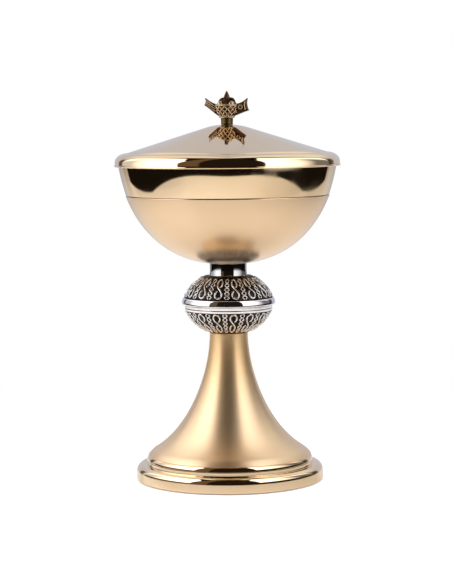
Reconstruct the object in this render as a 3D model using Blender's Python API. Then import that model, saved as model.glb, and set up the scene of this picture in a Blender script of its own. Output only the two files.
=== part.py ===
"""A lidded altar ciborium: spun foot, two-part knob, nested cup, and a lid that lifts off.

Frame: metres, +Z up, origin at the centre of the base ring's flat underside.
Every turned piece is one closed outline of (radius, height) points spun about Z.
Heights and radii below are in millimetres and pass through MM once, when a mesh is made.
"""

import bmesh
import bpy
from math import comb, cos, pi, radians, sin, sqrt

MM = 0.001

# --- driving dimensions, in millimetres -------------------------------------------------
GAP = 0.3  # between neighbouring pieces
SHEET = 0.9  # spun brass sheet

BASE_RADIUS = 58.0
BASE_EDGE = 1.2  # rounding at the foot of the wall
BASE_WALL_TOP = 6.2
BASE_SHOULDER_RADIUS = 52.6
BASE_SHOULDER_TOP = 11.6
STEP_RADIUS = 51.6
STEP_TOP = 14.9

FOOT_EDGE_RADIUS = 50.6
FOOT_EDGE_HEIGHT = 15.2
FOOT_LIP_RADIUS = 47.3  # where the concave flare turns over into the rounded lip
FOOT_LIP_HEIGHT = 18.5
STEM_RADIUS = 11.8
STEM_TOP = 91.2
PLUG_THICKNESS = 4.0

KNOB_SLEEVE_RADIUS = 6.2  # tube that both shells are soldered to
KNOB_WALL = 1.6
KNOB_BOTTOM = 91.5
KNOB_LOWER_RIM = 105.6
KNOB_BAND_BOTTOM = 105.9
KNOB_BAND_TOP = 112.9
KNOB_UPPER_RIM = 113.2
KNOB_TOP = 126.3
KNOB_BAND_RADIUS = 28.8
KNOB_UPPER = dict(radius=29.0, centre=105.0, half_height=24.7)  # ellipse of the upper shell
KNOB_LOWER = dict(radius=28.2, centre=112.9, half_height=23.9)  # ellipse of the lower shell

NECK_BOTTOM = 126.6
NECK_TOP = 133.9
NECK_RADIUS = 11.45
NECK_FLARE = 0.5
NECK_WALL = 1.4

CUP_RADIUS = 69.23  # superellipse that the cup's side follows
CUP_CENTRE = 218.4
CUP_DEPTH = 84.9
CUP_POWER = 2.306
CUP_FLAT_RADIUS = 13.0  # flat seat under the cup
CALYX_TOP = 176.1  # the satin calyx's edge stands just proud of the polished band
BAND_CURVE = ((62.6, 176.4), (66.3, 188.2), (67.8, 198.2))  # polished band above the calyx
BAND_WALL = 1.1
LIP_ROUNDING = 0.5
CALYX_WALL = 0.8

BOSS_RADIUS = 8.0
BOSS_BOTTOM = 127.4
BOSS_SPIGOT_RADIUS = 5.0

ROD_RADIUS = 3.0
ROD_CLEARANCE = 3.3
ROD_BOTTOM = 72.0
ROD_TOP = 132.4
NUT_ACROSS_FLATS = 10.0
NUT_HEIGHT = 5.0
WASHER_RADIUS = 8.0
WASHER_THICKNESS = 1.0

LID_RADIUS = 69.4
LID_RIM_BOTTOM = 193.9
LID_SHOULDER_RADIUS = 61.8
LID_SHOULDER_HEIGHT = 202.2
LID_SHOULDER_CENTRE = 196.6
LID_DOME_RADIUS = 13.0  # the cone is blended into a dome inside this radius
LID_DOME_HEIGHT = 217.5
LID_APEX = 219.3
FLANGE_RADIUS = 63.6
FLANGE_WALL = 1.0
FLANGE_BOTTOM = 187.0
FLANGE_TOP = 200.8

COLLAR_RADIUS = 3.8
COLLAR_FOOT_RADIUS = 3.5
COLLAR_BOTTOM = 219.6
COLLAR_TOP = 223.1
FINIAL_BOTTOM = 223.4
FINIAL_FOOT_RADIUS = 4.4
FINIAL_RIM = 231.0
FINIAL_RIM_RADIUS = 7.2
FINIAL_DOME_TOP = 235.2
FINIAL_TOP = 240.0
FINIAL_TURN = -12.0  # degrees about Z, which brings the broad arm forward
ARM_THICKNESS = 5.0
STUD_RADIUS = 1.6
STUD_CLEARANCE = 1.9
STUD_TOP = 228.6
STUD_BOTTOM = 211.4
STUD_NUT_ACROSS_FLATS = 7.0
STUD_NUT_HEIGHT = 3.2

LARGE, MEDIUM, SMALL = 40, 28, 16  # facets round the shells, the knob and the small pieces


# --- outlines ---------------------------------------------------------------------------
def arc(centre, radii, start, end, steps):
    """Points of an elliptical arc, angles in degrees from +radius towards +height."""
    angles = [radians(start + (end - start) * i / steps) for i in range(steps + 1)]
    return [(centre[0] + radii[0] * cos(a), centre[1] + radii[1] * sin(a)) for a in angles]


def bezier(points, steps):
    """Points of a Bezier curve of any degree, from its first to its last control point."""
    degree = len(points) - 1
    out = []
    for i in range(steps + 1):
        t = i / steps
        weights = [comb(degree, k) * (1 - t) ** (degree - k) * t**k for k in range(degree + 1)]
        out.append(tuple(sum(w * p[axis] for w, p in zip(weights, points)) for axis in (0, 1)))
    return out


def offset(points, distance):
    """The same open outline moved sideways: positive goes to the left of its direction."""
    moved = []
    last = len(points) - 1
    for i, (r, z) in enumerate(points):
        before, after = points[max(i - 1, 0)], points[min(i + 1, last)]
        run, rise = after[0] - before[0], after[1] - before[1]
        length = sqrt(run * run + rise * rise)
        moved.append((r - rise / length * distance, z + run / length * distance))
    return moved


def ellipse_radius(shape, height):
    """Radius of a knob shell's ellipse at a height."""
    share = (height - shape["centre"]) / shape["half_height"]
    return shape["radius"] * sqrt(1 - share * share)


def cup_height(radius):
    """Height of the cup's superellipse at a radius."""
    share = min(radius / CUP_RADIUS, 1.0)
    return CUP_CENTRE - CUP_DEPTH * (1 - share**CUP_POWER) ** (1 / CUP_POWER)


def cup_radius(height):
    """Radius of the cup's superellipse at a height."""
    share = (CUP_CENTRE - height) / CUP_DEPTH
    return CUP_RADIUS * (1 - share**CUP_POWER) ** (1 / CUP_POWER)


def cup_side(top, steps):
    """The cup's outer curve from its flat seat up to a height."""
    first = (CUP_FLAT_RADIUS, cup_height(CUP_FLAT_RADIUS))
    reach = cup_radius(top)
    points = [first]
    for i in range(1, steps + 1):
        radius = CUP_FLAT_RADIUS + (reach - CUP_FLAT_RADIUS) * sin(pi / 2 * i / steps)
        points.append((radius, cup_height(radius)))
    return points


# --- materials and mesh making ----------------------------------------------------------
def material(name, colour, roughness):
    """A plain metal."""
    made = bpy.data.materials.new(name)
    made.use_nodes = True
    shader = made.node_tree.nodes["Principled BSDF"]
    shader.inputs["Base Color"].default_value = (*colour, 1.0)
    shader.inputs["Metallic"].default_value = 1.0
    shader.inputs["Roughness"].default_value = roughness
    return made


def placed(name, mesh, finish):
    """Links a mesh as a named object, shaded smooth with its corners kept."""
    mesh.materials.append(finish)
    mesh.shade_smooth()
    mesh.set_sharp_from_angle(angle=radians(35))
    obj = bpy.data.objects.new(name, mesh)
    bpy.context.scene.collection.objects.link(obj)
    return obj


def spun(outline, segments, closed=True):
    """A bmesh of an outline turned about Z. An open outline starts and ends on the axis."""
    bm = bmesh.new()
    verts = [bm.verts.new((r * MM, 0, z * MM)) for r, z in outline]
    edges = [bm.edges.new(pair) for pair in zip(verts, verts[1:])]
    if closed:
        edges.append(bm.edges.new((verts[-1], verts[0])))
    bmesh.ops.spin(bm, geom=verts + edges, angle=2 * pi, steps=segments, axis=(0, 0, 1),
                   cent=(0, 0, 0), use_merge=True)
    bmesh.ops.remove_doubles(bm, verts=bm.verts, dist=0.00001)
    bmesh.ops.recalc_face_normals(bm, faces=bm.faces)
    return bm


def as_mesh(bm, name):
    mesh = bpy.data.meshes.new(name)
    bm.to_mesh(mesh)
    bm.free()
    return mesh


def turned(name, outline, finish, segments=SMALL, closed=True):
    """A lathe-turned or spun piece."""
    return placed(name, as_mesh(spun(outline, segments, closed), name), finish)


def washer(name, inner, outer, bottom, top, finish):
    """A flat ring or a plain tube."""
    return turned(name, [(inner, bottom), (outer, bottom), (outer, top), (inner, top)], finish)


def helper(name, bm):
    """An object that only shapes another: it isn't rendered and isn't a piece."""
    obj = bpy.data.objects.new(name, as_mesh(bm, name))
    obj.hide_render = True
    obj.display_type = "WIRE"
    bpy.context.scene.collection.objects.link(obj)
    return obj


def combine(obj, other, operation):
    """Adds a Boolean modifier that joins or cuts another object."""
    modifier = obj.modifiers.new(other.name, "BOOLEAN")
    modifier.operation = operation
    modifier.object = other
    modifier.solver = "EXACT"


def hex_nut(name, across_flats, bore, bottom, height, finish):
    """A hexagon nut with its corners turned off and a plain hole."""
    corner = across_flats / sqrt(3)
    chamfer = 0.12 * height
    outline = [(0, bottom), (across_flats / 2, bottom), (corner, bottom + chamfer),
               (corner, bottom + height - chamfer), (across_flats / 2, bottom + height),
               (0, bottom + height)]
    nut = turned(name, outline, finish, segments=6, closed=False)
    reach = height  # the cutter runs past both faces
    hole = [(0, bottom - reach), (bore, bottom - reach), (bore, bottom + height + reach),
            (0, bottom + height + reach)]
    combine(nut, helper(name + "_hole", spun(hole, SMALL, closed=False)), "DIFFERENCE")
    return nut


# --- foot -------------------------------------------------------------------------------
def base_ring(finish):
    """Polished moulding that the vessel stands on, hollow behind its wall."""
    wall, roof = 3.2, 1.6
    outer = [(BASE_RADIUS - BASE_EDGE, 0)]
    outer += arc((BASE_RADIUS - BASE_EDGE, BASE_EDGE), (BASE_EDGE, BASE_EDGE), -60, 0, 2)
    outer += arc((BASE_SHOULDER_RADIUS, BASE_WALL_TOP),
                 (BASE_RADIUS - BASE_SHOULDER_RADIUS, BASE_SHOULDER_TOP - BASE_WALL_TOP), 0, 90, 5)
    ledge = STEP_RADIUS - 3.4
    inner = [(ledge, BASE_SHOULDER_TOP), (ledge, BASE_SHOULDER_TOP - roof)]
    inner += [(BASE_SHOULDER_RADIUS - 1.0, BASE_SHOULDER_TOP - roof),
              (BASE_RADIUS - wall, BASE_WALL_TOP), (BASE_RADIUS - wall, 2.0),
              (BASE_RADIUS - wall - 1.6, 0.8), (BASE_RADIUS - wall - 1.6, 0)]
    return turned("base_ring", outer + inner, finish, LARGE)


def step_ring(finish):
    """Small polished half-round moulding between the base ring and the foot."""
    bottom, top = BASE_SHOULDER_TOP + GAP, STEP_TOP
    half = (top - bottom) / 2
    outline = arc((STEP_RADIUS - half, bottom + half), (half, half), -90, 90, 5)
    outline += [(STEP_RADIUS - 3.4, top), (STEP_RADIUS - 3.4, bottom)]
    return turned("step_ring", outline, finish, LARGE)


def foot_side():
    """Outer outline of the foot: straight stem, concave flare, rounded lip."""
    flare = bezier([(STEM_RADIUS, STEM_TOP), (STEM_RADIUS, 64.5), (25.55, 31.5),
                    (FOOT_LIP_RADIUS, FOOT_LIP_HEIGHT)], 9)
    lip = bezier([(FOOT_LIP_RADIUS, FOOT_LIP_HEIGHT), (49.0, 17.5),
                  (FOOT_EDGE_RADIUS, 16.6), (FOOT_EDGE_RADIUS, FOOT_EDGE_HEIGHT)], 3)
    return flare + lip[1:]


def foot_shell(finish):
    """Satin trumpet foot, open below."""
    outer = foot_side()
    inner = offset(outer, -SHEET)
    inner[0] = (STEM_RADIUS - SHEET, STEM_TOP)
    inner[-1] = (FOOT_EDGE_RADIUS - SHEET, FOOT_EDGE_HEIGHT)
    return turned("foot_shell", outer + inner[::-1], finish, LARGE)


def stem_plug(finish):
    """Turned disc brazed inside the top of the stem: it carries the tie rod's pull."""
    return washer("stem_plug", ROD_CLEARANCE, STEM_RADIUS - SHEET - GAP,
                  STEM_TOP - PLUG_THICKNESS, STEM_TOP, finish)


# --- tie rod and its hardware -----------------------------------------------------------
def tie_hardware(finish):
    """Rod, washer and nut that draw cup, neck, knob and foot together from below."""
    turned("tie_rod", [(0, ROD_BOTTOM), (ROD_RADIUS - 0.5, ROD_BOTTOM), (ROD_RADIUS, ROD_BOTTOM + 0.6),
                       (ROD_RADIUS, ROD_TOP - 0.6), (ROD_RADIUS - 0.5, ROD_TOP), (0, ROD_TOP)],
           finish, closed=False)
    seat = STEM_TOP - PLUG_THICKNESS - GAP
    washer("tie_washer", ROD_CLEARANCE, WASHER_RADIUS, seat - WASHER_THICKNESS, seat, finish)
    nut_top = seat - WASHER_THICKNESS - GAP
    hex_nut("tie_nut", NUT_ACROSS_FLATS, ROD_CLEARANCE, nut_top - NUT_HEIGHT, NUT_HEIGHT, finish)


# --- knob -------------------------------------------------------------------------------
def knob_shell(name, shape, rim, end, side, finish):
    """One chased half of the knob: a bowl with a hole for the sleeve in its flat end."""
    lining = dict(radius=shape["radius"] - KNOB_WALL, centre=shape["centre"],
                  half_height=shape["half_height"] - KNOB_WALL)
    roof = end - side * KNOB_WALL
    eased = [sin(pi / 2 * i / 6) for i in range(7)]
    outer = [(ellipse_radius(shape, rim + (end - rim) * e), rim + (end - rim) * e) for e in eased]
    inner = [(ellipse_radius(lining, rim + (roof - rim) * e), rim + (roof - rim) * e) for e in eased]
    bore = KNOB_SLEEVE_RADIUS + GAP
    return turned(name, outer + [(bore, end), (bore, roof)] + inner[::-1], finish, MEDIUM)


def knob_band(finish):
    """Polished ring held between the shells: a half-round bead over a plain fillet band."""
    bead_half = 1.9
    bead_centre = KNOB_BAND_TOP - bead_half
    fillet = KNOB_BAND_RADIUS - 1.75
    outer = [(fillet - 0.35, KNOB_BAND_BOTTOM), (fillet, KNOB_BAND_BOTTOM + 0.5),
             (fillet + 0.1, bead_centre - bead_half)]
    outer += arc((KNOB_BAND_RADIUS - 1.3, bead_centre), (1.3, bead_half), -75, 90, 6)
    inside = KNOB_BAND_RADIUS - 4.6
    return turned("knob_band", outer + [(inside, KNOB_BAND_TOP), (inside, KNOB_BAND_BOTTOM)],
                  finish, MEDIUM)


def knob_sleeve(finish):
    """Tube round the rod, from the stem's plug to the cup's boss."""
    washer("knob_sleeve", ROD_CLEARANCE, KNOB_SLEEVE_RADIUS, STEM_TOP + GAP, BOSS_BOTTOM - GAP, finish)


def neck_collar(finish):
    """Polished waisted tube between knob and cup."""
    inner = NECK_RADIUS - NECK_WALL
    middle = (NECK_BOTTOM + NECK_TOP) / 2
    side = bezier([(NECK_RADIUS + NECK_FLARE, NECK_BOTTOM), (NECK_RADIUS - 0.1, NECK_BOTTOM + 1.2),
                   (NECK_RADIUS - 0.1, middle), (NECK_RADIUS, NECK_TOP)], 5)
    return turned("neck_collar", side + [(inner, NECK_TOP), (inner, NECK_BOTTOM)], finish, MEDIUM)


# --- cup --------------------------------------------------------------------------------
def cup_calyx(finish):
    """Satin outer bowl with a rounded top edge."""
    outer = cup_side(CALYX_TOP - 0.4, 8)
    inner = offset(outer, CALYX_WALL)
    seat = outer[0][1]
    inner[0] = (CUP_FLAT_RADIUS, seat + CALYX_WALL)
    edge = outer[-1][0]
    rounding = [(edge - 0.1, CALYX_TOP), (edge - CALYX_WALL, CALYX_TOP)]
    hole = BOSS_SPIGOT_RADIUS + GAP
    outline = [(hole, seat)] + outer + rounding + inner[-2::-1] + [(hole, seat + CALYX_WALL)]
    return turned("cup_calyx", outline, finish, LARGE)


def cup_bowl(finish):
    """Gilt cup nested in the calyx, with its polished band and lip above."""
    nest = CALYX_WALL + GAP
    below = offset(cup_side(CALYX_TOP - 0.4, 8), nest)
    floor = cup_height(CUP_FLAT_RADIUS) + nest
    below[0] = (CUP_FLAT_RADIUS, floor)
    below[-1] = (cup_radius(CALYX_TOP) - nest, CALYX_TOP + GAP)
    band = bezier(BAND_CURVE, 4)
    top_radius, top = band[-1]
    band[-1] = (top_radius, top - LIP_ROUNDING)
    lip_centre = (top_radius - BAND_WALL / 2, top - LIP_ROUNDING)
    lip = arc(lip_centre, (BAND_WALL / 2, LIP_ROUNDING), 45, 180, 3)
    inside = [(r - BAND_WALL, z) for r, z in band[-2:0:-1]]
    lining = offset(cup_side(CALYX_TOP - 3.0, 8), nest + BAND_WALL)
    lining[0] = (CUP_FLAT_RADIUS, floor + BAND_WALL)
    outline = [(0, floor)] + below + band + lip + inside + lining[::-1] + [(0, floor + BAND_WALL)]
    return turned("cup_bowl", outline, finish, LARGE, closed=False)


def cup_boss(finish):
    """Boss brazed under the cup inside the neck, with the blind hole for the rod."""
    seat = cup_height(CUP_FLAT_RADIUS)
    top = seat + CALYX_WALL
    blind = ROD_TOP + GAP
    outline = [(0, blind), (ROD_CLEARANCE, blind), (ROD_CLEARANCE, BOSS_BOTTOM),
               (BOSS_RADIUS, BOSS_BOTTOM), (BOSS_RADIUS, seat - GAP),
               (BOSS_SPIGOT_RADIUS, seat - GAP), (BOSS_SPIGOT_RADIUS, top), (0, top)]
    return turned("cup_boss", outline, finish, closed=False)


# --- lid --------------------------------------------------------------------------------
def lid_side():
    """Outer outline of the lid from the apex hole to the foot of the rim."""
    dome = bezier([(STUD_CLEARANCE, LID_APEX), (6.0, LID_APEX - 0.15),
                   (LID_DOME_RADIUS - 3.5, LID_DOME_HEIGHT + 1.1),
                   (LID_DOME_RADIUS, LID_DOME_HEIGHT)], 4)
    cone = [(LID_DOME_RADIUS + (LID_SHOULDER_RADIUS - LID_DOME_RADIUS) * i / 3,
             LID_DOME_HEIGHT + (LID_SHOULDER_HEIGHT - LID_DOME_HEIGHT) * i / 3) for i in (1, 2, 3)]
    shoulder = arc((LID_SHOULDER_RADIUS, LID_SHOULDER_CENTRE),
                   (LID_RADIUS - 0.2 - LID_SHOULDER_RADIUS, LID_SHOULDER_HEIGHT - LID_SHOULDER_CENTRE),
                   80, 0, 5)
    return dome + cone + shoulder


def lid_shell(finish):
    """Polished conical cover with a rounded rim and a small hem."""
    outer = lid_side()
    inner = offset(outer, -SHEET)
    inner[0] = (STUD_CLEARANCE, LID_APEX - SHEET)
    inner[-1] = (outer[-1][0] - SHEET, outer[-1][1])
    hem = [(LID_RADIUS - 0.1, LID_RIM_BOTTOM + 1.1), (LID_RADIUS + 0.2, LID_RIM_BOTTOM + 0.7),
           (LID_RADIUS + 0.1, LID_RIM_BOTTOM), (LID_RADIUS - 1.0, LID_RIM_BOTTOM)]
    return turned("lid_shell", outer + hem + inner[::-1], finish, LARGE)


def lid_flange(finish):
    """Ring soldered inside the lid that centres it in the cup's mouth."""
    lead = 1.5
    inner = FLANGE_RADIUS - FLANGE_WALL
    outline = [(inner - 0.5, FLANGE_BOTTOM), (FLANGE_RADIUS - 0.5, FLANGE_BOTTOM),
               (FLANGE_RADIUS, FLANGE_BOTTOM + lead), (FLANGE_RADIUS, FLANGE_TOP),
               (inner, FLANGE_TOP), (inner, FLANGE_BOTTOM + lead)]
    return turned("lid_flange", outline, finish, LARGE)


def finial_arm(name, outline):
    """A flared arm cut from its side view, as thick as ARM_THICKNESS."""
    bm = bmesh.new()
    half = ARM_THICKNESS / 2
    face = bm.faces.new([bm.verts.new((x * MM, -half * MM, z * MM)) for x, z in outline])
    grown = bmesh.ops.extrude_face_region(bm, geom=[face])
    moved = [v for v in grown["geom"] if isinstance(v, bmesh.types.BMVert)]
    bmesh.ops.translate(bm, verts=moved, vec=(0, ARM_THICKNESS * MM, 0))
    bmesh.ops.recalc_face_normals(bm, faces=bm.faces)
    arm = helper(name, bm)
    arm.rotation_euler.z = radians(FINIAL_TURN)
    return arm


def finial_casting(finish):
    """Cast finial: a round basket with a domed filling, two flared arms and a spire."""
    boss = [(0, FINIAL_BOTTOM), (FINIAL_FOOT_RADIUS - 0.2, FINIAL_BOTTOM)]
    boss += bezier([(FINIAL_FOOT_RADIUS, FINIAL_BOTTOM + 0.3), (5.4, 225.2), (6.6, 227.6),
                    (FINIAL_RIM_RADIUS, FINIAL_RIM)], 5)
    boss += arc((0, FINIAL_RIM), (FINIAL_RIM_RADIUS - 0.8, FINIAL_DOME_TOP - FINIAL_RIM), 10, 90, 4)
    casting = turned("finial_casting", boss, finish, closed=False)
    casting.rotation_euler.z = radians(FINIAL_TURN)
    broad = [(2.0, 225.4), (4.6, 224.6), (7.6, 225.6), (10.9, 226.8), (13.7, 227.8),
             (12.9, 230.2), (12.5, 232.5), (12.8, 235.3), (10.6, 233.8), (7.2, 232.2), (2.0, 232.0)]
    slender = [(-2.0, 225.4), (-2.0, 232.0), (-7.6, 231.8), (-10.3, 233.5), (-13.5, 235.5),
               (-13.1, 233.2), (-13.8, 231.2), (-10.3, 228.6), (-6.6, 225.7), (-4.8, 224.8)]
    combine(casting, finial_arm("broad_arm", broad), "UNION")
    combine(casting, finial_arm("slender_arm", slender), "UNION")
    spire = [(0, 233.0), (2.4, 233.0), (2.1, 235.4), (1.0, 238.2), (0.3, FINIAL_TOP - 0.2),
             (0, FINIAL_TOP)]
    combine(casting, helper("spire", spun(spire, 8, closed=False)), "UNION")
    socket = [(0, COLLAR_BOTTOM), (STUD_CLEARANCE, COLLAR_BOTTOM),
              (STUD_CLEARANCE, STUD_TOP + GAP), (0, STUD_TOP + GAP)]
    combine(casting, helper("stud_socket", spun(socket, SMALL, closed=False)), "DIFFERENCE")
    return casting


def finial_hardware(collar_finish, hardware_finish):
    """Collar, stud, washer and nut that hold the finial on the lid."""
    turned("finial_collar", [(STUD_CLEARANCE, COLLAR_BOTTOM), (COLLAR_RADIUS, COLLAR_BOTTOM),
                             (COLLAR_FOOT_RADIUS, COLLAR_BOTTOM + 0.5),
                             (COLLAR_RADIUS, COLLAR_TOP - 0.6), (COLLAR_RADIUS, COLLAR_TOP),
                             (STUD_CLEARANCE, COLLAR_TOP)], collar_finish)
    turned("finial_stud", [(0, STUD_BOTTOM), (STUD_RADIUS - 0.4, STUD_BOTTOM),
                           (STUD_RADIUS, STUD_BOTTOM + 0.5), (STUD_RADIUS, STUD_TOP),
                           (0, STUD_TOP)], hardware_finish, closed=False)
    seat = LID_APEX - SHEET - GAP - 0.2
    washer("finial_washer", STUD_CLEARANCE, 5.0, seat - 0.8, seat, hardware_finish)
    top = seat - 0.8 - GAP
    hex_nut("finial_nut", STUD_NUT_ACROSS_FLATS, STUD_CLEARANCE, top - STUD_NUT_HEIGHT,
            STUD_NUT_HEIGHT, hardware_finish)


# --- the whole vessel -------------------------------------------------------------------
def main():
    for obj in list(bpy.data.objects):
        bpy.data.objects.remove(obj)
    polished_gilt = material("polished_gilt", (0.93, 0.73, 0.45), 0.08)
    satin_gilt = material("satin_gilt", (0.86, 0.68, 0.44), 0.32)
    polished_silver = material("polished_silver", (0.90, 0.88, 0.87), 0.10)
    oxidised_silver = material("oxidised_silver", (0.45, 0.43, 0.42), 0.35)
    antique_brass = material("antique_brass", (0.45, 0.28, 0.12), 0.25)
    bright_brass = material("bright_brass", (0.80, 0.62, 0.34), 0.30)

    base_ring(polished_gilt)
    step_ring(polished_gilt)
    foot_shell(satin_gilt)
    stem_plug(bright_brass)
    tie_hardware(bright_brass)
    knob_shell("knob_lower_shell", KNOB_LOWER, KNOB_LOWER_RIM, KNOB_BOTTOM, -1, oxidised_silver)
    knob_shell("knob_upper_shell", KNOB_UPPER, KNOB_UPPER_RIM, KNOB_TOP, 1, oxidised_silver)
    knob_band(polished_silver)
    knob_sleeve(bright_brass)
    neck_collar(polished_silver)
    cup_calyx(satin_gilt)
    cup_bowl(polished_gilt)
    cup_boss(bright_brass)
    lid_shell(polished_gilt)
    lid_flange(polished_gilt)
    finial_casting(antique_brass)
    finial_hardware(antique_brass, bright_brass)


main()
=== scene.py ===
from math import asin, atan2, comb, cos, degrees, pi, radians, sin, sqrt

import bmesh
import bpy
from mathutils import Matrix, Vector


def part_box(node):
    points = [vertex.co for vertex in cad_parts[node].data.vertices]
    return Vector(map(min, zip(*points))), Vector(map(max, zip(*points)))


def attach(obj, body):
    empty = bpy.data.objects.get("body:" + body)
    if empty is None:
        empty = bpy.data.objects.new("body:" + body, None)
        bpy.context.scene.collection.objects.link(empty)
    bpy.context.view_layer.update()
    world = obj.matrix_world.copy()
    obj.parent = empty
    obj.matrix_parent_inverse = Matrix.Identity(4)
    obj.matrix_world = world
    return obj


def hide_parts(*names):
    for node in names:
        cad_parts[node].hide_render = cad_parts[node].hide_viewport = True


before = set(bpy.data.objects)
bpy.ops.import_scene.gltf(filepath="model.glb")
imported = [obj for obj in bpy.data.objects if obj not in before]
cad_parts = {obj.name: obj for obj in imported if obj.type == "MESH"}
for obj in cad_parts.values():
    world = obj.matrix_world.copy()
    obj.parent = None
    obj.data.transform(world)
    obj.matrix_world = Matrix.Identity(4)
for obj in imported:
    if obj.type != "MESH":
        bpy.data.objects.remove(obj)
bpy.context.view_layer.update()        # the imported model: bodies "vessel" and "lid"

mm = 0.001
turns = 192              # facets round every turned piece
collection = bpy.context.scene.collection


# Outlines are lists of (radius, height) in millimetres.
def arcPoints(centre, radii, start, end, steps):
    angles = [radians(start + (end - start) * i / steps) for i in range(steps + 1)]
    return [(centre[0] + radii[0] * cos(a), centre[1] + radii[1] * sin(a)) for a in angles]


def curvePoints(controls, steps):  # a Bezier curve with any number of control points
    order = len(controls) - 1
    points = []
    for i in range(steps + 1):
        t = i / steps
        weights = [comb(order, k) * (1 - t) ** (order - k) * t ** k for k in range(order + 1)]
        points.append(tuple(sum(w * c[axis] for w, c in zip(weights, controls)) for axis in (0, 1)))
    return points


def besidePoints(points, distance):  # the same line moved sideways, positive to its left
    moved = []
    last = len(points) - 1
    for i, (x, y) in enumerate(points):
        before, after = points[max(i - 1, 0)], points[min(i + 1, last)]
        run, rise = after[0] - before[0], after[1] - before[1]
        length = sqrt(run * run + rise * rise)
        moved.append((x - rise / length * distance, y + run / length * distance))
    return moved


def radiusAt(outline, height):  # radius of a rising outline at a height
    for (r0, z0), (r1, z1) in zip(outline, outline[1:]):
        if z0 <= height <= z1:
            return r0 + (r1 - r0) * (height - z0) / max(z1 - z0, 1e-9)
    return outline[-1][0] if height > outline[-1][1] else outline[0][0]


def nodeSize(name):  # radius, bottom and top of a turned node, in millimetres
    low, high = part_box(name)
    return high.x / mm, low.z / mm, high.z / mm


# Meshes
def spunMesh(outline, segments=turns, closed=True):
    bm = bmesh.new()
    verts = [bm.verts.new((r * mm, 0, z * mm)) for r, z in outline]
    edges = [bm.edges.new(pair) for pair in zip(verts, verts[1:])]
    if closed:
        edges.append(bm.edges.new((verts[-1], verts[0])))
    bmesh.ops.spin(bm, geom=verts + edges, angle=2 * pi, steps=segments, axis=(0, 0, 1),
                   cent=(0, 0, 0), use_merge=True)
    return bm


def tubeMesh(paths, thickness, ends=0.45, roundness=2):  # one round wire along each path, in metres
    curve = bpy.data.curves.new("wire", "CURVE")
    curve.dimensions = "3D"
    curve.bevel_depth = thickness * mm
    curve.bevel_resolution = roundness
    curve.use_fill_caps = True
    for path in paths:
        spline = curve.splines.new("POLY")
        spline.points.add(len(path) - 1)
        last = len(path) - 1
        for i, (point, place) in enumerate(zip(spline.points, path)):
            point.co = (*place, 1)
            point.radius = ends if i in (0, last) else 1.0
    holder = bpy.data.objects.new("wire", curve)
    collection.objects.link(holder)
    graph = bpy.context.evaluated_depsgraph_get()
    mesh = bpy.data.meshes.new_from_object(holder.evaluated_get(graph))
    bm = bmesh.new()
    bm.from_mesh(mesh)
    bpy.data.objects.remove(holder)
    bpy.data.curves.remove(curve)
    bpy.data.meshes.remove(mesh)
    return bm


def joined(*parts):  # several bmeshes as one
    whole = bmesh.new()
    for part in parts:
        mesh = bpy.data.meshes.new("part")
        part.to_mesh(mesh)
        part.free()
        whole.from_mesh(mesh)
        bpy.data.meshes.remove(mesh)
    return whole


def piece(name, bm, finish, body, nodes=(), crease=38):
    bmesh.ops.remove_doubles(bm, verts=bm.verts, dist=0.000002)
    bmesh.ops.recalc_face_normals(bm, faces=bm.faces)
    mesh = bpy.data.meshes.new(name)
    bm.to_mesh(mesh)
    bm.free()
    mesh.materials.append(finish)
    mesh.shade_smooth()
    mesh.set_sharp_from_angle(angle=radians(crease))
    made = bpy.data.objects.new(name, mesh)
    collection.objects.link(made)
    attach(made, body)
    if nodes:
        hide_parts(*nodes)
    return made


# Shader arithmetic: a wire is a socket that adds Math nodes when it meets an operator.
class Wire:
    def __init__(self, finish, socket):
        self.finish = finish
        self.socket = socket

    def maths(self, operation, *values):
        return self.finish.node("ShaderNodeMath", {"operation": operation}, dict(enumerate(values)))

    def __add__(self, other):
        return self.maths("ADD", self, other)

    def __radd__(self, other):
        return self.maths("ADD", other, self)

    def __sub__(self, other):
        return self.maths("SUBTRACT", self, other)

    def __rsub__(self, other):
        return self.maths("SUBTRACT", other, self)

    def __mul__(self, other):
        return self.maths("MULTIPLY", self, other)

    def __rmul__(self, other):
        return self.maths("MULTIPLY", other, self)

    def __truediv__(self, other):
        return self.maths("DIVIDE", self, other)

    def __pow__(self, other):
        return self.maths("POWER", self, other)

    def size(self):
        return self.maths("ABSOLUTE", self)

    def between(self, low, high, to=(0.0, 1.0)):  # a soft step from low to high
        return self.finish.node("ShaderNodeMapRange", {"interpolation_type": "SMOOTHSTEP"},
                                {"Value": self, "From Min": low, "From Max": high,
                                 "To Min": to[0], "To Max": to[1]})


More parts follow.
